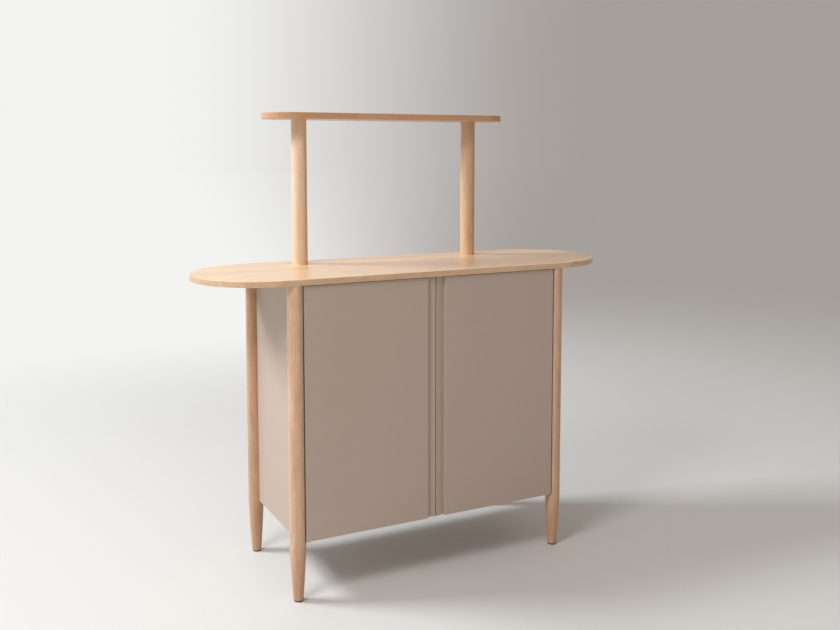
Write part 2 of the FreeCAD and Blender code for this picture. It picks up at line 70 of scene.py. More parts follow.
bpy.ops.object.camera_add(
    location=camera_place, rotation=(math.pi / 2 - camera_dip, 0, -camera_heading)
)
camera = bpy.context.object
camera.name = "camera"
camera.data.sensor_width = film_width
camera.data.lens = focal_pixels / photo_width * film_width
camera.data.shift_y = film_shift
scene = bpy.context.scene
scene.camera = camera
scene.view_settings.view_transform = "Standard"
print("lens:", round(camera.data.lens, 2), "mm")

# %% [markdown]
# Shader nodes are wired by hand in the editor. In a script, a few small helpers keep that
# readable. One adds a node, sets its options, and fills its sockets with values or with other
# nodes' outputs. The others call it for the kinds of node that come back again and again.

# %% Helpers for shader nodes
def fill(tree, node, sockets):
    """Puts values or other nodes' outputs into a node's inputs, found by name or number."""
    for key, value in sockets.items():
        if isinstance(value, bpy.types.NodeSocket):
            tree.links.new(value, node.inputs[key])
        else:
            node.inputs[key].default_value = value


def add(tree, kind, sockets=None, **options):
    """A new shader node. sockets maps its input names or numbers to values or outputs."""
    new = tree.nodes.new("ShaderNode" + kind)
    for option, value in options.items():
        setattr(new, option, value)
    fill(tree, new, sockets or {})
    return new


def sums(tree, operation, first, second=0.0, third=0.0):
    """The output of a Math node."""
    return add(tree, "Math", {0: first, 1: second, 2: third}, operation=operation).outputs[0]


def vectors(tree, operation, first, second=(0.0, 0.0, 0.0)):
    """The output of a Vector Math node: a vector, or the value of a length or a dot product."""
    made = add(tree, "VectorMath", {0: first, 1: second}, operation=operation).outputs
    return made["Value" if operation in ("LENGTH", "DOT_PRODUCT") else "Vector"]


def noise(tree, vector, scale, seed, detail=2.0, roughness=0.5, output="Fac"):
    """A Noise Texture, from 0 to 1. Its scale is one number, or three where it is drawn out."""
    scales = scale if isinstance(scale, tuple) else (scale, scale, scale)
    texture = add(
        tree, "TexNoise",
        {"Vector": vectors(tree, "MULTIPLY", vector, scales), "W": seed, "Scale": 1.0,
         "Detail": detail, "Roughness": roughness},
        noise_dimensions="4D",
    )
    return texture.outputs[output]


def ramp(tree, value, stops):
    """A Color Ramp from (position, grey) stops."""
    new = add(tree, "ValToRGB", {"Fac": value})
    elements = new.color_ramp.elements
    for position, _ in stops[2:]:
        elements.new(position)
    for element, (position, grey) in zip(elements, stops):
        element.position = position
        element.color = (grey, grey, grey, 1.0)
    return new.outputs["Color"]


def blended(tree, share, first, second, mode="MIX"):
    """Two colours mixed. A Mix node has several kinds of socket: its colours are 6, 7 and 2."""
    mix = add(tree, "Mix", {0: share, 6: first, 7: second}, data_type="RGBA", blend_type=mode)
    return mix.outputs[2]


def eased(tree, value, low, high):
    """A value mapped from low and high to 0 and 1, with soft ends."""
    return add(
        tree, "MapRange", {"Value": value, "From Min": low, "From Max": high},
        interpolation_type="SMOOTHSTEP",
    ).outputs["Result"]


def bump(tree, height, strength, distance):
    """A normal that follows a height, which is distance metres high at full strength."""
    made = add(tree, "Bump", {"Height": height, "Strength": strength, "Distance": distance})
    return made.outputs["Normal"]


node_helpers = (fill, add, sums, vectors, noise, ramp, blended, eased, bump)
print("node helpers:", ", ".join(helper.__name__ for helper in node_helpers))

# %% [markdown]
# A node group is one effect with named inputs and outputs, like a tool with its own dials, so that
# several materials can share it. Every material starts from the same Principled shader. Colours are
# written as an eye-dropper reads them, because that is how they are compared with a picture, and
# one function turns them into what shaders use.

# %% Helpers for groups, materials and colours
def new_group(name, inputs, outputs):
    """A node group with its named sockets, and its two ends."""
    group = bpy.data.node_groups.new(name, "ShaderNodeTree")
    for label, kind, default in inputs:
        socket = group.interface.new_socket(label, in_out="INPUT", socket_type="NodeSocket" + kind)
        if default is not None:
            socket.default_value = default
    for label, kind in outputs:
        group.interface.new_socket(label, in_out="OUTPUT", socket_type="NodeSocket" + kind)
    given = group.nodes.new("NodeGroupInput").outputs
    made = group.nodes.new("NodeGroupOutput")
    return group, given, made


def use_group(tree, group, sockets):
    """The outputs of a node group that is placed in a tree with its own values."""
    return add(tree, "Group", sockets, node_tree=group).outputs


def new_material(name):
    """A new material, its node tree and its Principled shader."""
    material = bpy.data.materials.new(name)
    material.use_nodes = True
    tree = material.node_tree
    return material, tree, tree.nodes["Principled BSDF"]


def srgb(red, green, blue):
    """A colour as an eye-dropper reads it, 0 to 255, in the linear values that shaders use."""
    def linear(value):
        share = value / 255
        return share / 12.92 if share <= 0.04045 else ((share + 0.055) / 1.055) ** 2.4
    return (linear(red), linear(green), linear(blue), 1.0)


print("a middle grey of 128 is", round(srgb(128, 128, 128)[0], 3), "to a shader")

# %% [markdown]
# The backdrop is nearly white on the left and greyer on the right, and mirrors see it too: that
# makes the worktop so pale on its left. The light comes from a sky of its own, brightest on the
# left, dimmer and a little redder on the right. Near the horizon it is dimmer and warmer again,
# which warms the deep shadow under the cupboard. Light Path tells the two apart: it knows
# whether a ray comes from the camera or a mirror, or carries light from one surface to the next.

# %% Backdrop and sky
backdrop_light = srgb(243, 243, 242)
backdrop_shade = srgb(166, 160, 156)
shade_from = 0.2
shade_to = 0.6
sky_bright = (0.6, 0.575, 0.54, 1.0)
sky_dim = (0.4, 0.31, 0.26, 1.0)
bright_side = (-0.93, 0.0, 0.37)
bright_from = -0.75
bright_to = 0.85
horizon_share = 0.4
horizon_tint = (1.0, 0.87, 0.72, 1.0)
white = (1.0, 1.0, 1.0, 1.0)
full_height = 0.55


def seen_directly(tree):
    """1 for rays from the camera or a mirror or through glass, otherwise 0."""
    path = add(tree, "LightPath").outputs
    mirrored = sums(tree, "MAXIMUM", path["Is Camera Ray"], path["Is Glossy Ray"])
    return sums(tree, "MAXIMUM", mirrored, path["Is Transmission Ray"])


def backdrop(tree, rightwards):
    """The backdrop's shade, 0 to 1, and its colour, from how far to the right it is, -1 to 1."""
    shade = eased(tree, rightwards, shade_from, shade_to)
    return shade, blended(tree, shade, backdrop_light, backdrop_shade)


def sky():
    """The world: the backdrop to look at, and a soft sky to light with."""
    world = bpy.data.worlds.new("sky")
    world.use_nodes = True
    tree = world.node_tree
    tree.nodes.clear()
    direction = add(tree, "TexCoord").outputs["Generated"]
    parts = add(tree, "SeparateXYZ", {0: direction}).outputs
    shown = add(tree, "Background", {"Color": backdrop(tree, parts["X"])[1]})
    towards = vectors(tree, "DOT_PRODUCT", direction, bright_side)
    colour = blended(tree, eased(tree, towards, bright_from, bright_to), sky_dim, sky_bright)
    height = eased(tree, parts["Z"], 0.0, full_height)
    colour = blended(tree, 1.0, colour, blended(tree, height, horizon_tint, white), "MULTIPLY")
    strength = sums(tree, "MULTIPLY_ADD", height, 1 - horizon_share, horizon_share)
    lights = add(tree, "Background", {"Color": colour, "Strength": strength})
    mix = add(tree, "MixShader", {0: seen_directly(tree), 1: lights.outputs[0], 2: shown.outputs[0]})
    add(tree, "OutputWorld", {"Surface": mix.outputs[0]})
    return world


scene.world = sky()
print("world:", len(scene.world.node_tree.nodes), "nodes")

# %% [markdown]
# The cabinet stands on a plain pale floor. It could be a small square, but then its edge would show
# as a horizon behind the shelf. So it is a very wide disc that fades into the backdrop a few
# metres out, on every side. It fades soonest on the left, where it would get too bright right under
# the lamp. It is matt, and a fine speckle keeps it from looking like paper.

# %% Floor
floor_radius = 60.0
floor_sides = 96
floor_colour = srgb(211, 215, 217)
floor_worn = srgb(216, 220, 221)
floor_roughness = 0.62
floor_gloss = 0.1
fade_start = 2.4
fade_end = 6.5
light_side_pace = 1.5
shade_side_pace = 0.85


def floor_material():
    """A pale matt floor that fades into the backdrop with distance from the object."""
    material, tree, shader = new_material("floor")
    place = add(tree, "TexCoord").outputs["Object"]
    reach = vectors(tree, "LENGTH", place)
    side = add(tree, "SeparateXYZ", {0: place}).outputs["X"]
    shade, beyond = backdrop(tree, sums(tree, "DIVIDE", side, reach))
    pace = sums(tree, "MULTIPLY_ADD", shade, shade_side_pace - light_side_pace, light_side_pace)
    far = eased(tree, sums(tree, "MULTIPLY", reach, pace), fade_start, fade_end)
    cloud = noise(tree, place, scale=0.7, seed=3.0)
    speckle = noise(tree, place, scale=260.0, seed=5.0)
    fill(tree, shader, {
        "Base Color": blended(tree, cloud, floor_colour, floor_worn),
        "Roughness": floor_roughness,
        "Specular IOR Level": floor_gloss,
        "Normal": bump(tree, speckle, strength=0.06, distance=0.001),
    })
    glow = add(tree, "Emission", {"Color": beyond}).outputs[0]
    share = sums(tree, "MULTIPLY", far, seen_directly(tree))
    mix = add(tree, "MixShader", {0: share, 1: shader.outputs[0], 2: glow})
    fill(tree, tree.nodes["Material Output"], {"Surface": mix.outputs[0]})
    return material


bpy.ops.mesh.primitive_circle_add(vertices=floor_sides, radius=floor_radius, fill_type="NGON")
floor = bpy.context.object
floor.name = "floor"
floor.data.materials.append(floor_material())
print("floor radius:", floor_radius, "m")

# %% [markdown]
# The main light in the photograph comes from the left and a little from behind, about 45 degrees
# up: the posts' shadows run level to the right on the worktop, and the worktop's own shadow crosses
# the side panel on a slant. One large soft panel does that, and because it hangs only seven
# metres away, the left end of the worktop gets more of it than the right. It never reaches the
# doors. They are lit by the sky and by a second, smaller and pinker panel at the front left. That
# one strikes them at a low angle, so it shapes the grip recess: its left strip lies in shade, its
# right wall is bright.

# %% Lamps
cupboard_middle = Vector((0.0, 0.0, 0.7))


def soft_panel(name, place, size, power, colour):
    """A square lamp that faces the cupboard. Sizes are in metres, and its power is in watts."""
    bpy.ops.object.light_add(type="AREA", location=place)
    lamp = bpy.context.object
    lamp.name = name
    lamp.data.size = size
    lamp.data.energy = power
    lamp.data.color = colour
    aim = cupboard_middle - Vector(place)
    lamp.rotation_euler = aim.to_track_quat("-Z", "Y").to_euler()
    print(name, "lamp:", round(aim.length, 2), "m away")


soft_panel("key", place=(-4.8, 2.4, 5.9), size=1.9, power=378.0, colour=(0.98, 1.0, 1.0))
soft_panel("fill", place=(-2.95, -1.57, 3.7), size=1.2, power=76.0, colour=(1.0, 0.88, 0.83))

# %% [markdown]
# Oak is a bundle of growth rings. A board shows where its surface cuts through them: straight lines
# where it cuts across, long pointed arches where it grazes. A flat wood picture can't turn a
# corner, so this group works out the rings in space: the distance from the tree's centre line,
# the pith, bent by slow noise and divided by a ring's width. Each ring goes from pale spring wood
# to dark late wood, and some years are darker than others.

# %% Growth rings
ring_width = 0.004
ring_variety = 0.45
late_wood_stops = [(0.0, 0.1), (0.55, 0.3), (0.9, 1.0), (1.0, 0.1)]
wander_scale = (1.6, 9.0, 9.0)
grain_wander = 0.03


def growth_rings(group, given):
    """The place with the grain's wander, how far through its year the wood is, and the year's tone."""
    slow = noise(group, given["Vector"], wander_scale, given["Seed"], output="Color")
    centred = vectors(group, "SUBTRACT", slow, (0.5, 0.5, 0.5))
    wander = vectors(group, "MULTIPLY", centred, (0.0, grain_wander, grain_wander))
    bent = vectors(group, "ADD", wander, given["Vector"])
    from_pith = vectors(group, "SUBTRACT", bent, given["Pith"])
    across = vectors(group, "LENGTH", vectors(group, "MULTIPLY", from_pith, (0.0, 1.0, 1.0)))
    rings = sums(group, "DIVIDE", across, ring_width)
    season = sums(group, "FRACT", rings)
    year = sums(group, "ADD", sums(group, "FLOOR", rings), given["Seed"])
    vigour = add(group, "TexWhiteNoise", {"W": year}, noise_dimensions="1D").outputs["Value"]
    vigour = sums(group, "MULTIPLY_ADD", vigour, ring_variety, 1 - ring_variety)
    return bent, season, sums(group, "MULTIPLY", ramp(group, season, late_wood_stops), vigour)


print("rings:", round(ring_width * 1000, 1), "mm wide")

# %% [markdown]
# Rings alone look printed. Real timber also has cloudy bands and streaks along the grain, fibres,
# dark pores that open in the spring wood, and a small knot here and there. All of these are noise,
# drawn out along the grain, which runs along X of the vector that comes in. The group puts
# out a colour, a roughness and a height, and each piece of wood gives it its own pith and seed.

# %% Timber
# Each layer: its scale along and across the grain, detail, roughness, strength and start.
tone_layers = {
    "streaks": ((2.2, 55.0, 55.0), 3.0, 0.6, 0.7, -0.2),
    "bands": ((0.7, 14.0, 14.0), 1.0, 0.5, 0.55, -0.25),
    "mottle": ((18.0, 55.0, 55.0), 3.0, 0.65, 1.0, -0.5),
    "flecks": ((9.0, 240.0, 240.0), 2.0, 0.6, 0.75, -0.375),
}
ring_strength = 0.34
fibre_scale = (22.0, 1300.0, 1300.0)
fibre_strength = 0.22
fibre_relief = 0.35
pore_scale = (45.0, 1900.0, 1900.0)
pore_stops = [(0.6, 0.0), (0.72, 1.0)]
pore_share = 0.3
pore_colour = srgb(128, 90, 62)
spring_wood_stops = [(0.0, 1.0), (0.45, 0.25), (1.0, 0.5)]
knot_scale = (4.0, 13.0, 13.0)
knot_stops = [(0.0, 0.85), (0.035, 0.5), (0.075, 0.0)]
knot_colour = srgb(132, 92, 64)
least_roughness = 0.28
roughness_range = 0.14


def timber_group():
    """Timber of any tree, with its rings, fibres, pores and knots."""
    group, given, made = new_group(
        "timber",
        [("Vector", "Vector", None), ("Pith", "Vector", None), ("Pale", "Color", None),
         ("Dark", "Color", None), ("Seed", "Float", 0.0), ("Knots", "Float", 1.0)],
        [("Color", "Color"), ("Roughness", "Float"), ("Height", "Float")],
    )
    seed = given["Seed"]
    bent, season, ring_tone = growth_rings(group, given)
    tone = sums(group, "MULTIPLY", ring_tone, ring_strength)
    for scale, detail, roughness, strength, start in tone_layers.values():
        layer = noise(group, bent, scale, seed, detail, roughness)
        tone = sums(group, "ADD", tone, sums(group, "MULTIPLY_ADD", layer, strength, start))
    fibres = noise(group, given["Vector"], fibre_scale, seed, detail=1.0)
    fibre_tone = sums(group, "MULTIPLY_ADD", fibres, fibre_strength, -fibre_strength / 2)
    tone = add(group, "Clamp", {"Value": sums(group, "ADD", tone, fibre_tone)}).outputs[0]
    colour = blended(group, tone, given["Pale"], given["Dark"])
    dots = ramp(group, noise(group, given["Vector"], pore_scale, seed, detail=0.0), pore_stops)
    pores = sums(group, "MULTIPLY", dots, ramp(group, season, spring_wood_stops))
    colour = blended(group, sums(group, "MULTIPLY", pores, pore_share), colour, pore_colour)
    moved = add(group, "CombineXYZ", {"X": seed, "Y": seed, "Z": seed}).outputs[0]
    scattered = vectors(group, "ADD", vectors(group, "MULTIPLY", bent, knot_scale), moved)
    nearest = add(group, "TexVoronoi", {"Vector": scattered, "Scale": 1.0}).outputs["Distance"]
    knots = sums(group, "MULTIPLY", ramp(group, nearest, knot_stops), given["Knots"])
    fill(group, made, {
        "Color": blended(group, knots, colour, knot_colour),
        "Roughness": sums(group, "MULTIPLY_ADD", fibres, roughness_range, least_roughness),
        "Height": sums(group, "SUBTRACT", sums(group, "MULTIPLY", fibres, fibre_relief), pores),
    })
    return group


timber = timber_group()
print("timber group:", len(timber.nodes), "nodes")

# %% [markdown]
# The two boards aren't sawn from one log: each is glued up from long staves, and every stave has its
# own tone and its own cut. A second group finds the stave that a point lies in, and moves the
# point to a place of its own in the timber, so that the rings don't run on across a joint.

# %% Staves
stave_moves = (4.0, 0.16, 0.09)
joint_stops = [(0.494, 0.0), (0.498, 1.0)]


def stave_group():
    """The stave that a point of a glued-up board lies in."""
    group, given, made = new_group(
        "staves",
        [("Vector", "Vector", None), ("Width", "Float", 0.1), ("Seed", "Float", 0.0)],
        [("Vector", "Vector"), ("Tone", "Float"), ("Joint", "Float")],
    )
    side = add(group, "SeparateXYZ", {0: given["Vector"]}).outputs["Y"]
    count = sums(group, "ADD", sums(group, "DIVIDE", side, given["Width"]), given["Seed"])
    number = sums(group, "FLOOR", count)
    chance = add(group, "TexWhiteNoise", {"W": number}, noise_dimensions="1D").outputs
    shift = vectors(group, "MULTIPLY", chance["Color"], stave_moves)
    from_middle = sums(group, "ABSOLUTE", sums(group, "SUBTRACT", sums(group, "FRACT", count), 0.5))
    fill(group, made, {
        "Vector": vectors(group, "ADD", given["Vector"], shift),
        "Tone": chance["Value"],
        "Joint": ramp(group, from_middle, joint_stops),
    })
    return group


staves = stave_group()
print("stave group:", len(staves.nodes), "nodes")

# %% [markdown]
# Every finish here makes its edges a touch paler than its face. On the metal and plastic fittings that
# is wear, since hands and cloths rub a sharp edge first. On the oak and the lacquer it is a painted
# highlight along the arris.
# The Bevel node rounds the normal near an edge, and the edge shows where that rounded normal
# leaves the true one. Every finish here uses it, so it is a group as well.

# %% Edge wear and painted highlight
edge_samples = 6
edge_stops = [(0.01, 0.0), (0.2, 1.0)]


def edge_group():
    """The edges of a piece, from how far a rounded normal leaves the true one."""
    group, given, made = new_group(
        "edge wear and highlight", [("Radius", "Float", 0.002), ("Amount", "Float", 1.0)], [("Mask", "Float")]
    )
    rounded = add(group, "Bevel", {"Radius": given["Radius"]}, samples=edge_samples).outputs[0]
    true = add(group, "NewGeometry").outputs["Normal"]
    leaving = sums(group, "SUBTRACT", 1.0, vectors(group, "DOT_PRODUCT", rounded, true))
    edge = ramp(group, leaving, edge_stops)
    fill(group, made, {"Mask": sums(group, "MULTIPLY", edge, given["Amount"])})
    return group


edge_wear_and_highlight = edge_group()


def edge_mask(tree, radius, amount):
    """How much paler a point is made, up to amount, within about radius metres of an edge: rubbing wear
    on the fittings, a painted highlight on the oak and the lacquer.
    """
    return use_group(tree, edge_wear_and_highlight, {"Radius": radius, "Amount": amount})["Mask"]


print("edge group:", len(edge_wear_and_highlight.nodes), "nodes")

# %% [markdown]
# Every wooden piece gets a material of its own from one function, because each has its own grain.
# The oak is finished with a pale oil, so it is light, warm and only faintly glossy. The boards show
# their staves and glue lines. Their end grain is darker, where the ends of the fibres drink more oil,
# and their side faces are darkened too: painted shade, as a side gets less light than the top. Edges
# are paler: a painted highlight along the arris. The worktop has a thin clear coat as well, which
# mirrors the white side of the backdrop at a low angle. The legs are also made darker towards their
# feet, each by its own share.

# %% Oak
stave_share = 0.7
warm_stave = srgb(244, 222, 196)
joint_share = 0.25
glue_line = srgb(150, 112, 82)
end_grain_and_side_shade = srgb(168, 126, 94)
end_share = 0.35
end_power = 3.0
side_shade_share = 0.28
foot_darkening_tone = srgb(238, 216, 204)
foot_darkening_from = 0.2
foot_darkening_to = 0.08
oak_edge_highlight = srgb(232, 206, 176)
coat_roughness = 0.38


def board_colour(tree, colour, cut, normal):
    """A glued-up board's colour: stave tones, glue lines, darker end grain, painted shade on the sides.
    """
    tone = sums(tree, "MULTIPLY", cut["Tone"], stave_share)
    colour = blended(tree, tone, colour, warm_stave, "MULTIPLY")
    colour = blended(tree, sums(tree, "MULTIPLY", cut["Joint"], joint_share), colour, glue_line)
    facing = add(tree, "SeparateXYZ", {0: normal}).outputs
    endways = sums(tree, "POWER", sums(tree, "ABSOLUTE", facing["X"]), end_power)
    sideways = sums(tree, "SUBTRACT", 1.0, sums(tree, "ABSOLUTE", facing["Z"]))
    ends = sums(tree, "MULTIPLY", endways, end_share)
    # The end grain is darker, and every side face too: painted shade, as a side gets less light than
    # the top.
    rim = sums(tree, "MAXIMUM", ends, sums(tree, "MULTIPLY", sideways, side_shade_share))
    return blended(tree, rim, colour, end_grain_and_side_shade)


def wood(name, centre, turn, pith, seed, pale, dark, stave_width=None, knots=1.0, soaked=0.0, coat=0.0):
    """Oiled timber, cut so that its grain runs along X after the turn."""
    material, tree, shader = new_material(name)
    coordinates = add(tree, "TexCoord").outputs
    place = add(
        tree, "Mapping",
        {"Vector": coordinates["Object"], "Location": centre, "Rotation": turn}, vector_type="TEXTURE",
    ).outputs[0]
    if stave_width:
        cut = use_group(tree, staves, {"Vector": place, "Width": stave_width, "Seed": seed})
        place = cut["Vector"]
    grain = use_group(
        tree, timber,
        {"Vector": place, "Pith": pith, "Seed": seed, "Pale": pale, "Dark": dark, "Knots": knots},
    )
    colour = grain["Color"]
    if stave_width:
        colour = board_colour(tree, colour, cut, coordinates["Normal"])
    # Darker towards the foot, below the height where the darkening starts.
    if soaked:
        height = add(tree, "SeparateXYZ", {0: coordinates["Object"]}).outputs["Z"]
        lowness = eased(tree, height, foot_darkening_from, foot_darkening_to)
        colour = blended(
            tree, sums(tree, "MULTIPLY", lowness, soaked), colour, foot_darkening_tone, "MULTIPLY"
        )
    # Its edges are paler: a painted highlight along the arris.
    edges = edge_mask(tree, radius=0.0025, amount=0.3)
    fill(tree, shader, {
        "Base Color": blended(tree, edges, colour, oak_edge_highlight),
        "Roughness": grain["Roughness"],
        "Coat Weight": coat,
        "Coat Roughness": coat_roughness,
        "Normal": bump(tree, grain["Height"], strength=0.25, distance=0.0004),
    })
    return material


# The legs are made darker below this height.
print("legs soak up more oil below", foot_darkening_from, "m")

# %% [markdown]
# Now each oak piece is cut from the log. The legs and posts stand with upright grain, and the boards
# lie, each with its own pith and seed. The back legs are browner than the front ones. The left post
# is the palest piece: its paler tones are painted light, for the stronger light that falls on it.
# The posts were picked without knots.

# %% Oak pieces
upright = (0.0, math.radians(90), 0.0)
level = (0.0, 0.0, 0.0)
crosswise = (0.0, 0.0, math.radians(90))
oak_pale = srgb(236, 206, 166)
oak_dark = srgb(190, 148, 106)
leg_pale = srgb(222, 188, 156)
leg_dark = srgb(182, 139, 107)
leg_brown_pale = srgb(202, 163, 130)
leg_brown_dark = srgb(166, 122, 91)
# Each leg's pith, seen from its middle, its seed, its two tones, and how much darker its foot is made.
leg_cuts = {
    "leg_front_left": ((0.0, 0.036, 0.045), 2.0, leg_pale, leg_dark, 0.7),
    "leg_front_right": ((0.0, -0.05, 0.03), 5.7, leg_pale, leg_dark, 0.4),
    "leg_back_left": ((0.0, 0.04, -0.05), 9.4, leg_brown_pale, leg_brown_dark, 0.0),
    "leg_back_right": ((0.0, 0.06, 0.02), 13.1, leg_brown_pale, leg_brown_dark, 0.2),
}
post_pith = (0.0, 0.05, 0.04)
# Each post's seed and its two tones. The left post's paler tones are painted light.
post_cuts = {
    "post_left": (23.0, srgb(238, 213, 185), srgb(213, 180, 148)),
    "post_right": (26.3, srgb(219, 189, 155), srgb(191, 154, 121)),
}


def middle(node):
    """The middle of a piece of the frame."""
    low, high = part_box(node)
    return (low + high) / 2


def dress(node, material):
    """Gives a piece of the frame its finish."""
    nodes[node].material_slots[0].material = material


for name, (pith, seed, pale, dark, soaked) in leg_cuts.items():
    dress(name, wood("oak " + name, middle(name), upright, pith, seed, pale, dark, soaked=soaked))
for name, (seed, pale, dark) in post_cuts.items():
    dress(name, wood("oak " + name, middle(name), upright, post_pith, seed, pale, dark, knots=0.0))
dress("worktop", wood(
    "oak worktop", middle("worktop"), level, pith=(0.0, 0.0, -0.12), seed=0.3,
    pale=oak_pale, dark=oak_dark, stave_width=0.092, coat=1.0,
))
dress("upper_shelf", wood(
    "oak upper shelf", middle("upper_shelf"), level, pith=(0.0, 0.0, -0.1), seed=7.4,
    pale=leg_pale, dark=leg_dark, stave_width=0.098,
))
print("oak pieces:", len(leg_cuts) + len(post_cuts), "legs and posts and 2 boards")

# %% [markdown]
# The cupboard is board, sprayed with a beige-grey lacquer. Sprayed lacquer is never quite flat: it
# dries with a faint skin like an orange's, a few millimetres across and only microns deep, and
# that is what softens the reflections on a large door. Its colour is even, so the
# cloudiness here is very slight.

# %% Lacquer
lacquer_colour = srgb(186, 171, 159)
lacquer_thin_and_edge_highlight = srgb(200, 186, 174)
cloud_share = 0.12
lacquer_roughness = 0.4
wiped_range = 0.1
lacquer_gloss = 0.4


def lacquer():
    """Sprayed lacquer, faintly cloudy, with a painted highlight on its edges."""
    material, tree, shader = new_material("lacquer")
    place = add(tree, "TexCoord").outputs["Object"]
    cloud = noise(tree, place, scale=3.0, seed=1.0, detail=3.0)
    wiped = noise(tree, place, scale=(9.0, 9.0, 30.0), seed=4.0, detail=4.0)
    skin = noise(tree, place, scale=420.0, seed=8.0, detail=1.0)
    thin = sums(tree, "MULTIPLY", cloud, cloud_share)
    colour = blended(tree, thin, lacquer_colour, lacquer_thin_and_edge_highlight)
    # Its edges are paler: a painted highlight along the arris.
    edges = edge_mask(tree, radius=0.0015, amount=0.35)
    fill(tree, shader, {
        "Base Color": blended(tree, edges, colour, lacquer_thin_and_edge_highlight),
        "Roughness": sums(tree, "MULTIPLY_ADD", wiped, wiped_range, lacquer_roughness),
        "Specular IOR Level": lacquer_gloss,
        "Normal": bump(tree, skin, strength=0.12, distance=0.0002),
    })
    return material


lacquered = lacquer()
panels = ["back_panel", "centre_partition", "bottom_panel", "top_panel"]
panels += [part + side for part in ("side_panel_", "shelf_", "door_") for side in ("left", "right")]
for panel in panels:
    dress(panel, lacquered)
print("lacquered pieces:", len(panels))

# %% [markdown]
# The dowels are hidden once the cabinet is glued up, but they are beech, and they get the same timber
# group in beech's pinker colours. Each set is turned so that its grain runs along the dowels.

# %% Beech
beech_pale = srgb(226, 190, 156)
beech_dark = srgb(200, 158, 122)
beech_pith = (0.0, 0.1, 0.1)
first_seed = 31.0
seed_step = 2.9
dowel_turns = {
    "leg_dowels": upright, "partition_dowels": upright,
    "side_panel_dowels": crosswise, "carcass_dowels": level,
}
for number, (name, turn) in enumerate(dowel_turns.items()):
    seed = first_seed + number * seed_step
    dress(name, wood("beech " + name, middle(name), turn, beech_pith, seed, beech_pale, beech_dark))
print("beech pieces:", len(dowel_turns))

# %% [markdown]
# Metal is all reflection, so its roughness matters more than its colour. Zinc plating is a
# dull bluish grey with a fine cloudy grain, and turned brass is smoother and yellow. Both come from
# one function. Both are brighter where a tool or a hand has rubbed them: the worn edges again.

# %% Metal
metal_cloud_share = 0.4
metal_roughness_range = 0.22


def metal(name, colour, worn, roughness):
    """A plated or turned metal with fine cloudy marks and rubbed edges."""
    material, tree, shader = new_material(name)
    place = add(tree, "TexCoord").outputs["Object"]
    marks = noise(tree, place, scale=900.0, seed=2.0, detail=3.0, roughness=0.7)
    clouds = noise(tree, place, scale=70.0, seed=6.0)
    base = blended(tree, sums(tree, "MULTIPLY", clouds, metal_cloud_share), colour, worn)
    smoothest = roughness - metal_roughness_range / 2
    fill(tree, shader, {
        "Base Color": blended(tree, edge_mask(tree, radius=0.0006, amount=0.8), base, worn),
        "Roughness": sums(tree, "MULTIPLY_ADD", marks, metal_roughness_range, smoothest),
        "Metallic": 1.0,
        "Normal": bump(tree, marks, strength=0.08, distance=0.0001),
    })
    return material


zinc = metal("zinc plate", colour=srgb(186, 188, 190), worn=srgb(214, 215, 216), roughness=0.38)
brass = metal("turned brass", colour=srgb(198, 164, 104), worn=srgb(222, 192, 136), roughness=0.28)
print("metals:", zinc.name, "and", brass.name)

# %% [markdown]
# The small plastic parts differ in more than colour. The glides are dark and matt with a moulded
# grain, the magnet catches are beige like the boards, the thrust washers are nylon, milky
# and a bit waxy, and the buffers are clear, so some of the door behind shows through them.

# %% Plastic
scuff_stops = [(0.5, 0.0), (0.75, 1.0)]
scuff_share = 0.4
skin_roughness = 0.15
skin_middle = 0.07


def plastic(name, colour, scuffed, roughness, grain, relief, **more):
    """A moulded plastic with a fine grain and scuffs. more holds sockets of its shader by name."""
    material, tree, shader = new_material(name)
    place = add(tree, "TexCoord").outputs["Object"]
    skin = noise(tree, place, scale=grain, seed=3.0, roughness=0.6)
    scuffs = noise(tree, place, scale=160.0, seed=9.0, detail=4.0, roughness=0.7)
    scuffs = sums(tree, "MULTIPLY", ramp(tree, scuffs, scuff_stops), scuff_share)
    marks = sums(tree, "MAXIMUM", scuffs, edge_mask(tree, radius=0.0005, amount=0.6))
    fill(tree, shader, {
        "Base Color": blended(tree, marks, colour, scuffed),
        "Roughness": sums(tree, "MULTIPLY_ADD", skin, skin_roughness, roughness - skin_middle),
        "Normal": bump(tree, skin, strength=relief, distance=0.0002),
        **more,
    })
    return material


glide_plastic = plastic(
    "glide plastic", srgb(56, 48, 44), srgb(92, 82, 76), roughness=0.6, grain=1400.0, relief=0.5
)
catch_plastic = plastic(
    "catch plastic", srgb(178, 168, 154), srgb(196, 188, 176), roughness=0.45, grain=1800.0, relief=0.15
)
nylon = plastic(
    "nylon", srgb(226, 222, 212), srgb(236, 233, 226), roughness=0.42, grain=1600.0, relief=0.1,
    **{"Subsurface Weight": 0.2, "Subsurface Scale": 0.001},
)
clear_rubber = plastic(
    "clear rubber", srgb(226, 224, 218), srgb(236, 234, 230), roughness=0.3, grain=900.0, relief=0.1,
    **{"Transmission Weight": 0.3},
)
plastics = (glide_plastic, catch_plastic, nylon, clear_rubber)
print("plastics:", ", ".join(material.name for material in plastics))

# %% [markdown]
# The record names a finish for every piece of the frame, and a piece arrives with one material of
# that name. So the rest can be dressed by finish instead of one by one.

# %% Dress the fittings
finishes = {
    "steel": zinc, "brass": brass, "glide": glide_plastic, "catch": catch_plastic,
    "washer": nylon, "buffer": clear_rubber,
}
dressed = 0
for piece in nodes.values():
    finish = piece.material_slots[0].material.name.split(".")[0]
    if finish in finishes:
        piece.material_slots[0].material = finishes[finish]
        dressed += 1
print("dressed fittings:", dressed)

# %% [markdown]
# A node of the frame can hold several solids, such as the eleven screws of the back panel. To set a
# better model in place of each, the scene needs to know where each one is. A solid is a set of
# corners that edges join, so walking along the edges from any corner finds all of it. A fitting
# stands on one face of its solid's box: the one that it points away from.

# %% Find the solids
mm = 0.001
weld_distance = 0.01 * mm


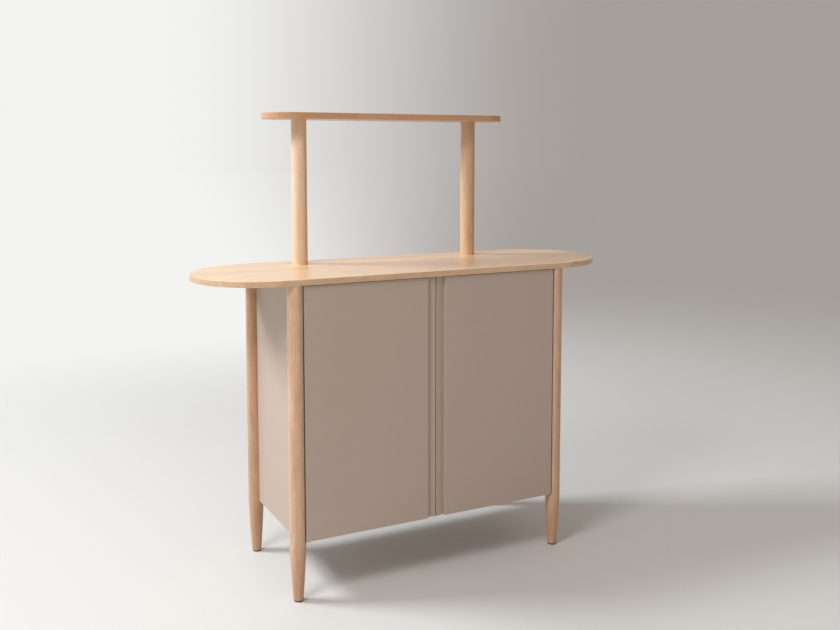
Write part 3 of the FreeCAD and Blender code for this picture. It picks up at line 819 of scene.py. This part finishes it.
def solids(node):
    """The (lowest, highest) corners of each separate solid of a node."""
    shape = bmesh.new()
    shape.from_mesh(nodes[node].data)
    bmesh.ops.remove_doubles(shape, verts=shape.verts, dist=weld_distance)
    unseen = set(shape.verts)
    boxes = []
    while unseen:
        found = [unseen.pop()]
        for corner in found:
            for edge in corner.link_edges:
                other = edge.other_vert(corner)
                if other in unseen:
                    unseen.remove(other)
                    found.append(other)
        low = Vector([min(corner.co[axis] for corner in found) for axis in range(3)])
        high = Vector([max(corner.co[axis] for corner in found) for axis in range(3)])
        boxes.append((low, high))
    shape.free()
    return sorted(boxes, key=lambda box: tuple(box[0]))


def size_of(box):
    """The three sizes of a (lowest, highest) box."""
    return box[1] - box[0]


def foot(box, way):
    """The middle of the face of a box that a fitting stands on when it points along way."""
    low, high = box
    places = {-1: high, 0: (low + high) / 2, 1: low}
    return Vector([places[way[axis]][axis] for axis in range(3)])


print("back panel screws:", len(solids("back_panel_screws")))

# %% [markdown]
# All the fittings below are modelled standing on their face at the origin, pointing up, because
# that is the easiest way to work. A bar is the start of each. In edit mode, a face is picked by
# where it is and how it faces, and then lifted, rounded or cut.

# %% Modelling helpers
facing_limit = 0.9


def pick(piece, chosen):
    """In edit mode, selects just the faces that a test picks by their middle and normal."""
    bpy.ops.mesh.select_mode(type="FACE")
    bpy.ops.mesh.select_all(action="DESELECT")
    shape = bmesh.from_edit_mesh(piece.data)
    for face in shape.faces:
        if chosen(face.calc_center_median(), face.normal):
            face.select_set(True)
    bmesh.update_edit_mesh(piece.data)


def faces_up(height):
    """A test for the face that looks up at a height."""
    return lambda middle, normal: normal.z > facing_limit and abs(middle.z - height) < weld_distance


def faces_down(height):
    """A test for the face that looks down at a height."""
    return lambda middle, normal: normal.z < -facing_limit and abs(middle.z - height) < weld_distance


def round_bar(name, dia, height, sides=32):
    """A short upright cylinder on the origin, alone selected and open in edit mode."""
    bpy.ops.object.select_all(action="DESELECT")
    bpy.ops.mesh.primitive_cylinder_add(
        vertices=sides, radius=dia / 2, depth=height, location=(0, 0, height / 2)
    )
    bpy.ops.object.transform_apply(location=True)
    bpy.context.object.name = name
    bpy.ops.object.mode_set(mode="EDIT")
    return bpy.context.object


def lift(distance):
    """Extrudes the selected face upwards."""
    bpy.ops.mesh.extrude_region_move(TRANSFORM_OT_translate={"value": (0, 0, distance)})


def scale_sideways(across, along=None):
    """Scales the selected face by one share, or by two, without moving it up or down."""
    bpy.ops.transform.resize(value=(across, along or across, 1.0))


def bevel_rim(width, steps=2):
    """Rounds the border of the selected face."""
    bpy.ops.mesh.region_to_loop()
    bpy.ops.mesh.bevel(offset=width, segments=steps, affect="EDGES")


edit_helpers = (pick, faces_up, faces_down, round_bar, lift, scale_sideways, bevel_rim)
print("modelling helpers:", ", ".join(helper.__name__ for helper in edit_helpers))

# %% [markdown]
# A finished model is copied to every place where the frame has such a fitting, and each copy is
# turned to point the right way. The copies that stand for one node are joined, and their place is
# applied to the mesh, so that the object itself sits at the origin like every other piece.
# All of these fittings are fixed to the cabinet, so they ride on it.

# %% Cut and copy
smooth_angle = math.radians(30)


def cut_away(piece, cutter):
    """Takes a cutter's shape out of a piece and removes the cutter."""
    modifier = piece.modifiers.new("cut", "BOOLEAN")
    modifier.object = cutter
    modifier.solver = "EXACT"
    bpy.ops.object.select_all(action="DESELECT")
    bpy.context.view_layer.objects.active = piece
    piece.select_set(True)
    bpy.ops.object.modifier_apply(modifier=modifier.name)
    bpy.data.objects.remove(cutter)


def place_copies(model, name, places, way, node, material):
    """Copies of a fitting at their places, pointing along way, joined to one piece for a node."""
    turn = Vector((0, 0, 1)).rotation_difference(Vector(way))
    copies = []
    for place in places:
        bpy.ops.object.select_all(action="DESELECT")
        bpy.context.view_layer.objects.active = model
        model.select_set(True)
        bpy.ops.object.duplicate()
        copy = bpy.context.object
        copy.rotation_mode = "QUATERNION"
        copy.rotation_quaternion = turn
        copy.location = place
        copies.append(copy)
    for copy in copies:
        copy.select_set(True)
    if len(copies) > 1:
        bpy.ops.object.join()
    bpy.ops.object.transform_apply(location=True, rotation=True, scale=True)
    piece = bpy.context.object
    piece.name = name
    piece.data.materials.clear()
    piece.data.materials.append(material)
    bpy.ops.object.shade_smooth_by_angle(angle=smooth_angle)
    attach(piece, "cabinet")
    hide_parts(node)
    print(name + ":", len(places), "placed")


print("edges sharper than", round(math.degrees(smooth_angle)), "degrees stay sharp")

# %% [markdown]
# A wood screw shows its head: a flat disc with a cross-shaped recess that narrows downwards. The head
# starts as a thin disc, the cone and the shank are extruded from it, and two crossed bars cut
# the recess. Sunk heads are cones, the others are low cylinders with a rounded rim.

# %% Screw model
rim_height = 0.3 * mm
head_round_share = 0.25
head_round_steps = 3
tip_length_share = 1.2
tip_share = 0.3
cross_share = 0.58
bar_share = 0.2
cross_depth_share = 0.6
cross_end_taper = 0.45
cross_side_taper = 0.8


def cross_bar(length, width, depth):
    """One bar of the cross that a driver presses, narrower at its inner end."""
    bpy.ops.object.select_all(action="DESELECT")
    bpy.ops.mesh.primitive_cube_add(size=1.0)
    bar = bpy.context.object
    bar.scale = (length, width, 2 * depth)
    bpy.ops.object.transform_apply(scale=True)
    bpy.ops.object.mode_set(mode="EDIT")
    pick(bar, lambda middle, normal: normal.z > facing_limit)
    scale_sideways(cross_end_taper, cross_side_taper)
    bpy.ops.object.mode_set(mode="OBJECT")
    return bar


def screw(name, head_dia, head_height, shank_dia, length, sunk):
    """A wood screw on its head, pointing up."""
    model = round_bar(name, head_dia, rim_height if sunk else head_height)
    if sunk:
        pick(model, faces_up(rim_height))
        lift(head_height - rim_height)
        scale_sideways(shank_dia / head_dia)
    else:
        pick(model, faces_down(0.0))
        bevel_rim(head_round_share * head_height, head_round_steps)
        pick(model, faces_up(head_height))
        bpy.ops.mesh.inset(thickness=(head_dia - shank_dia) / 2)
    tip = tip_length_share * shank_dia
    lift(length - head_height - tip)
    lift(tip)
    scale_sideways(tip_share)
    bpy.ops.object.mode_set(mode="OBJECT")
    for turn in (0, math.radians(90)):
        bar = cross_bar(cross_share * head_dia, bar_share * head_dia, cross_depth_share * head_height)
        bar.rotation_euler.z = turn
        cut_away(model, bar)
    return model


print("cross recess:", cross_share, "of the head's width")

# %% [markdown]
# The box of a screw says how wide its head is and how long the screw is. Only the height of the head
# and the width of the shank are given here, because a box doesn't show them.

# %% Screws
# Each node's screws: head height, shank diameter, whether the head is sunk, and the way they point.
screw_kinds = {
    "back_panel_screws": (2.5 * mm, 4.0 * mm, True, (0, -1, 0)),
    "pivot_plate_screws": (1.8 * mm, 3.5 * mm, True, (0, 0, 1)),
    "worktop_screws": (3.0 * mm, 4.0 * mm, False, (0, 0, 1)),
    "glide_screws": (2.0 * mm, 4.0 * mm, False, (0, 0, 1)),
}
for node, (head_height, shank_dia, sunk, way) in screw_kinds.items():
    boxes = solids(node)
    sizes = size_of(boxes[0])
    length = sizes.y if way[1] else sizes.z
    model = screw(node + " model", sizes.x, head_height, shank_dia, length, sunk)
    places = [foot(box, way) for box in boxes]
    place_copies(model, node + "_crossed", places, way, node, zinc)
    bpy.data.objects.remove(model)

# %% [markdown]
# The two bolts that hold the posts are socket cap bolts. Their head is a cylinder with a knurled side
# and a six-sided socket, and it hangs under the top panel where a hand can feel it. The
# knurl is made by pushing every second side face in a little.

# %% Post bolts
bolt_dia = 8.0 * mm
bolt_head_height = 8.0 * mm
bolt_head_round = 0.6 * mm
bolt_chamfer = bolt_dia / 4
bolt_end_share = 0.8
knurl_depth = 0.2 * mm
knurl_rim = 0.06 * mm
knurl_sides = 60
level_limit = 0.1
side_share = 0.45
socket_across = 6.0 * mm
socket_depth = 4.0 * mm
socket_sides = 6


def every_second_side(head_dia):
    """A test for every second face round the side of a bolt's head."""
    step = 2 * math.pi / knurl_sides

    def chosen(middle, normal):
        on_side = abs(normal.z) < level_limit and math.hypot(middle.x, middle.y) > side_share * head_dia
        return on_side and int(math.atan2(middle.y, middle.x) % (2 * math.pi) / step) % 2 == 0
    return chosen


def cap_bolt(head_dia, length):
    """A socket cap bolt on its head, pointing up."""
    model = round_bar("cap bolt", head_dia, bolt_head_height, knurl_sides)
    pick(model, faces_down(0.0))
    bevel_rim(bolt_head_round)
    pick(model, faces_up(bolt_head_height))
    bpy.ops.mesh.inset(thickness=(head_dia - bolt_dia) / 2)
    lift(length - bolt_head_height - bolt_chamfer)
    lift(bolt_chamfer)
    scale_sideways(bolt_end_share)
    pick(model, every_second_side(head_dia))
    bpy.ops.mesh.inset(thickness=knurl_rim, depth=-knurl_depth, use_individual=True)
    bpy.ops.object.mode_set(mode="OBJECT")
    across_corners = socket_across / math.cos(math.pi / socket_sides)
    socket = round_bar("socket", across_corners, 2 * socket_depth, socket_sides)
    bpy.ops.object.mode_set(mode="OBJECT")
    socket.location.z = -socket_depth
    cut_away(model, socket)
    return model


bolt_boxes = solids("post_bolts")
bolt_way = (0, 0, 1)
model = cap_bolt(size_of(bolt_boxes[0]).x, size_of(bolt_boxes[0]).z)
places = [foot(box, bolt_way) for box in bolt_boxes]
place_copies(model, "post_bolts_socketed", places, bolt_way, "post_bolts", zinc)
bpy.data.objects.remove(model)

# %% [markdown]
# A magnet catch is a plastic cup with a round magnet set just behind its rim. The cup is turned
# from one bar: rounded rim, a shallow recess in its face, a flange and a narrower body
# behind it. The magnet is a piece of its own, because it has another finish.

# %% Magnet catches
cup_sides = 48
cup_round = 0.4 * mm
cup_round_steps = 3
flange_thickness = 2.0 * mm
body_dia = 9.0 * mm
recess_wall = 1.6 * mm
recess_depth = 0.5 * mm
magnet_gap = 0.2 * mm
magnet_thickness = 0.3 * mm
magnet_round = 0.08 * mm
catch_way = (0, 1, 0)


def catch_cup(flange_dia, length):
    """A magnet catch's plastic cup on its face, pointing up."""
    model = round_bar("catch cup", flange_dia, flange_thickness, cup_sides)
    pick(model, faces_down(0.0))
    bevel_rim(cup_round, cup_round_steps)
    pick(model, faces_down(0.0))
    bpy.ops.mesh.inset(thickness=recess_wall - cup_round)
    lift(recess_depth)
    pick(model, faces_up(flange_thickness))
    bpy.ops.mesh.inset(thickness=(flange_dia - body_dia) / 2)
    lift(length - flange_thickness)
    bpy.ops.object.mode_set(mode="OBJECT")
    return model


def magnet(dia):
    """The round magnet in a catch's cup."""
    model = round_bar("magnet", dia, magnet_thickness, cup_sides)
    pick(model, faces_down(0.0))
    bevel_rim(magnet_round)
    bpy.ops.object.mode_set(mode="OBJECT")
    return model


for side in ("left", "right"):
    node = "catch_" + side
    sizes = size_of(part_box(node))
    face = foot(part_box(node), catch_way)
    model = catch_cup(sizes.x, sizes.y)
    place_copies(model, node + "_cup", [face], catch_way, node, catch_plastic)
    bpy.data.objects.remove(model)
    model = magnet(sizes.x - 2 * recess_wall - 2 * magnet_gap)
    behind = face + Vector((0, recess_depth - magnet_thickness, 0))
    place_copies(model, node + "_magnet", [behind], catch_way, node, zinc)
    bpy.data.objects.remove(model)

# %% [markdown]
# The loose shelves lie on small steel pins. A plain rod would do, but real pins have a domed
# end and a groove where the die closed, so each is a bar with a rounded tip and a waist. The pins
# on the two sides of a shelf point towards each other, so they make two pieces.

# %% Shelf pins
pin_sides = 24
pin_bite = 8.0 * mm
pin_waist = 0.3 * mm
pin_waist_width = 0.8 * mm
pin_shoulder = pin_waist_width / 2
tip_round_share = 0.35
tip_round_steps = 4


def shelf_pin(dia, length):
    """A shelf pin with its wall end on the origin, pointing up."""
    waist_start = pin_bite + pin_waist_width
    model = round_bar("shelf pin", dia, waist_start, pin_sides)
    pick(model, faces_up(waist_start))
    bpy.ops.mesh.inset(thickness=pin_waist)
    lift(pin_waist_width)
    lift(pin_shoulder)
    scale_sideways(dia / (dia - 2 * pin_waist))
    lift(length - waist_start - pin_waist_width - pin_shoulder)
    bevel_rim(tip_round_share * dia, tip_round_steps)
    bpy.ops.object.mode_set(mode="OBJECT")
    return model


for side in ("left", "right"):
    node = "shelf_pins_" + side
    boxes = solids(node)
    middles = [(low.x + high.x) / 2 for low, high in boxes]
    shelf_middle = sum(middles) / len(boxes)
    model = shelf_pin(size_of(boxes[0]).z, size_of(boxes[0]).x)
    for part, way in (("_inward", (-1, 0, 0)), ("_outward", (1, 0, 0))):
        on_left = way[0] > 0
        ends = [foot(box, way) for box, x in zip(boxes, middles) if (x < shelf_middle) == on_left]
        place_copies(model, node + part, ends, way, node, zinc)
    bpy.data.objects.remove(model)
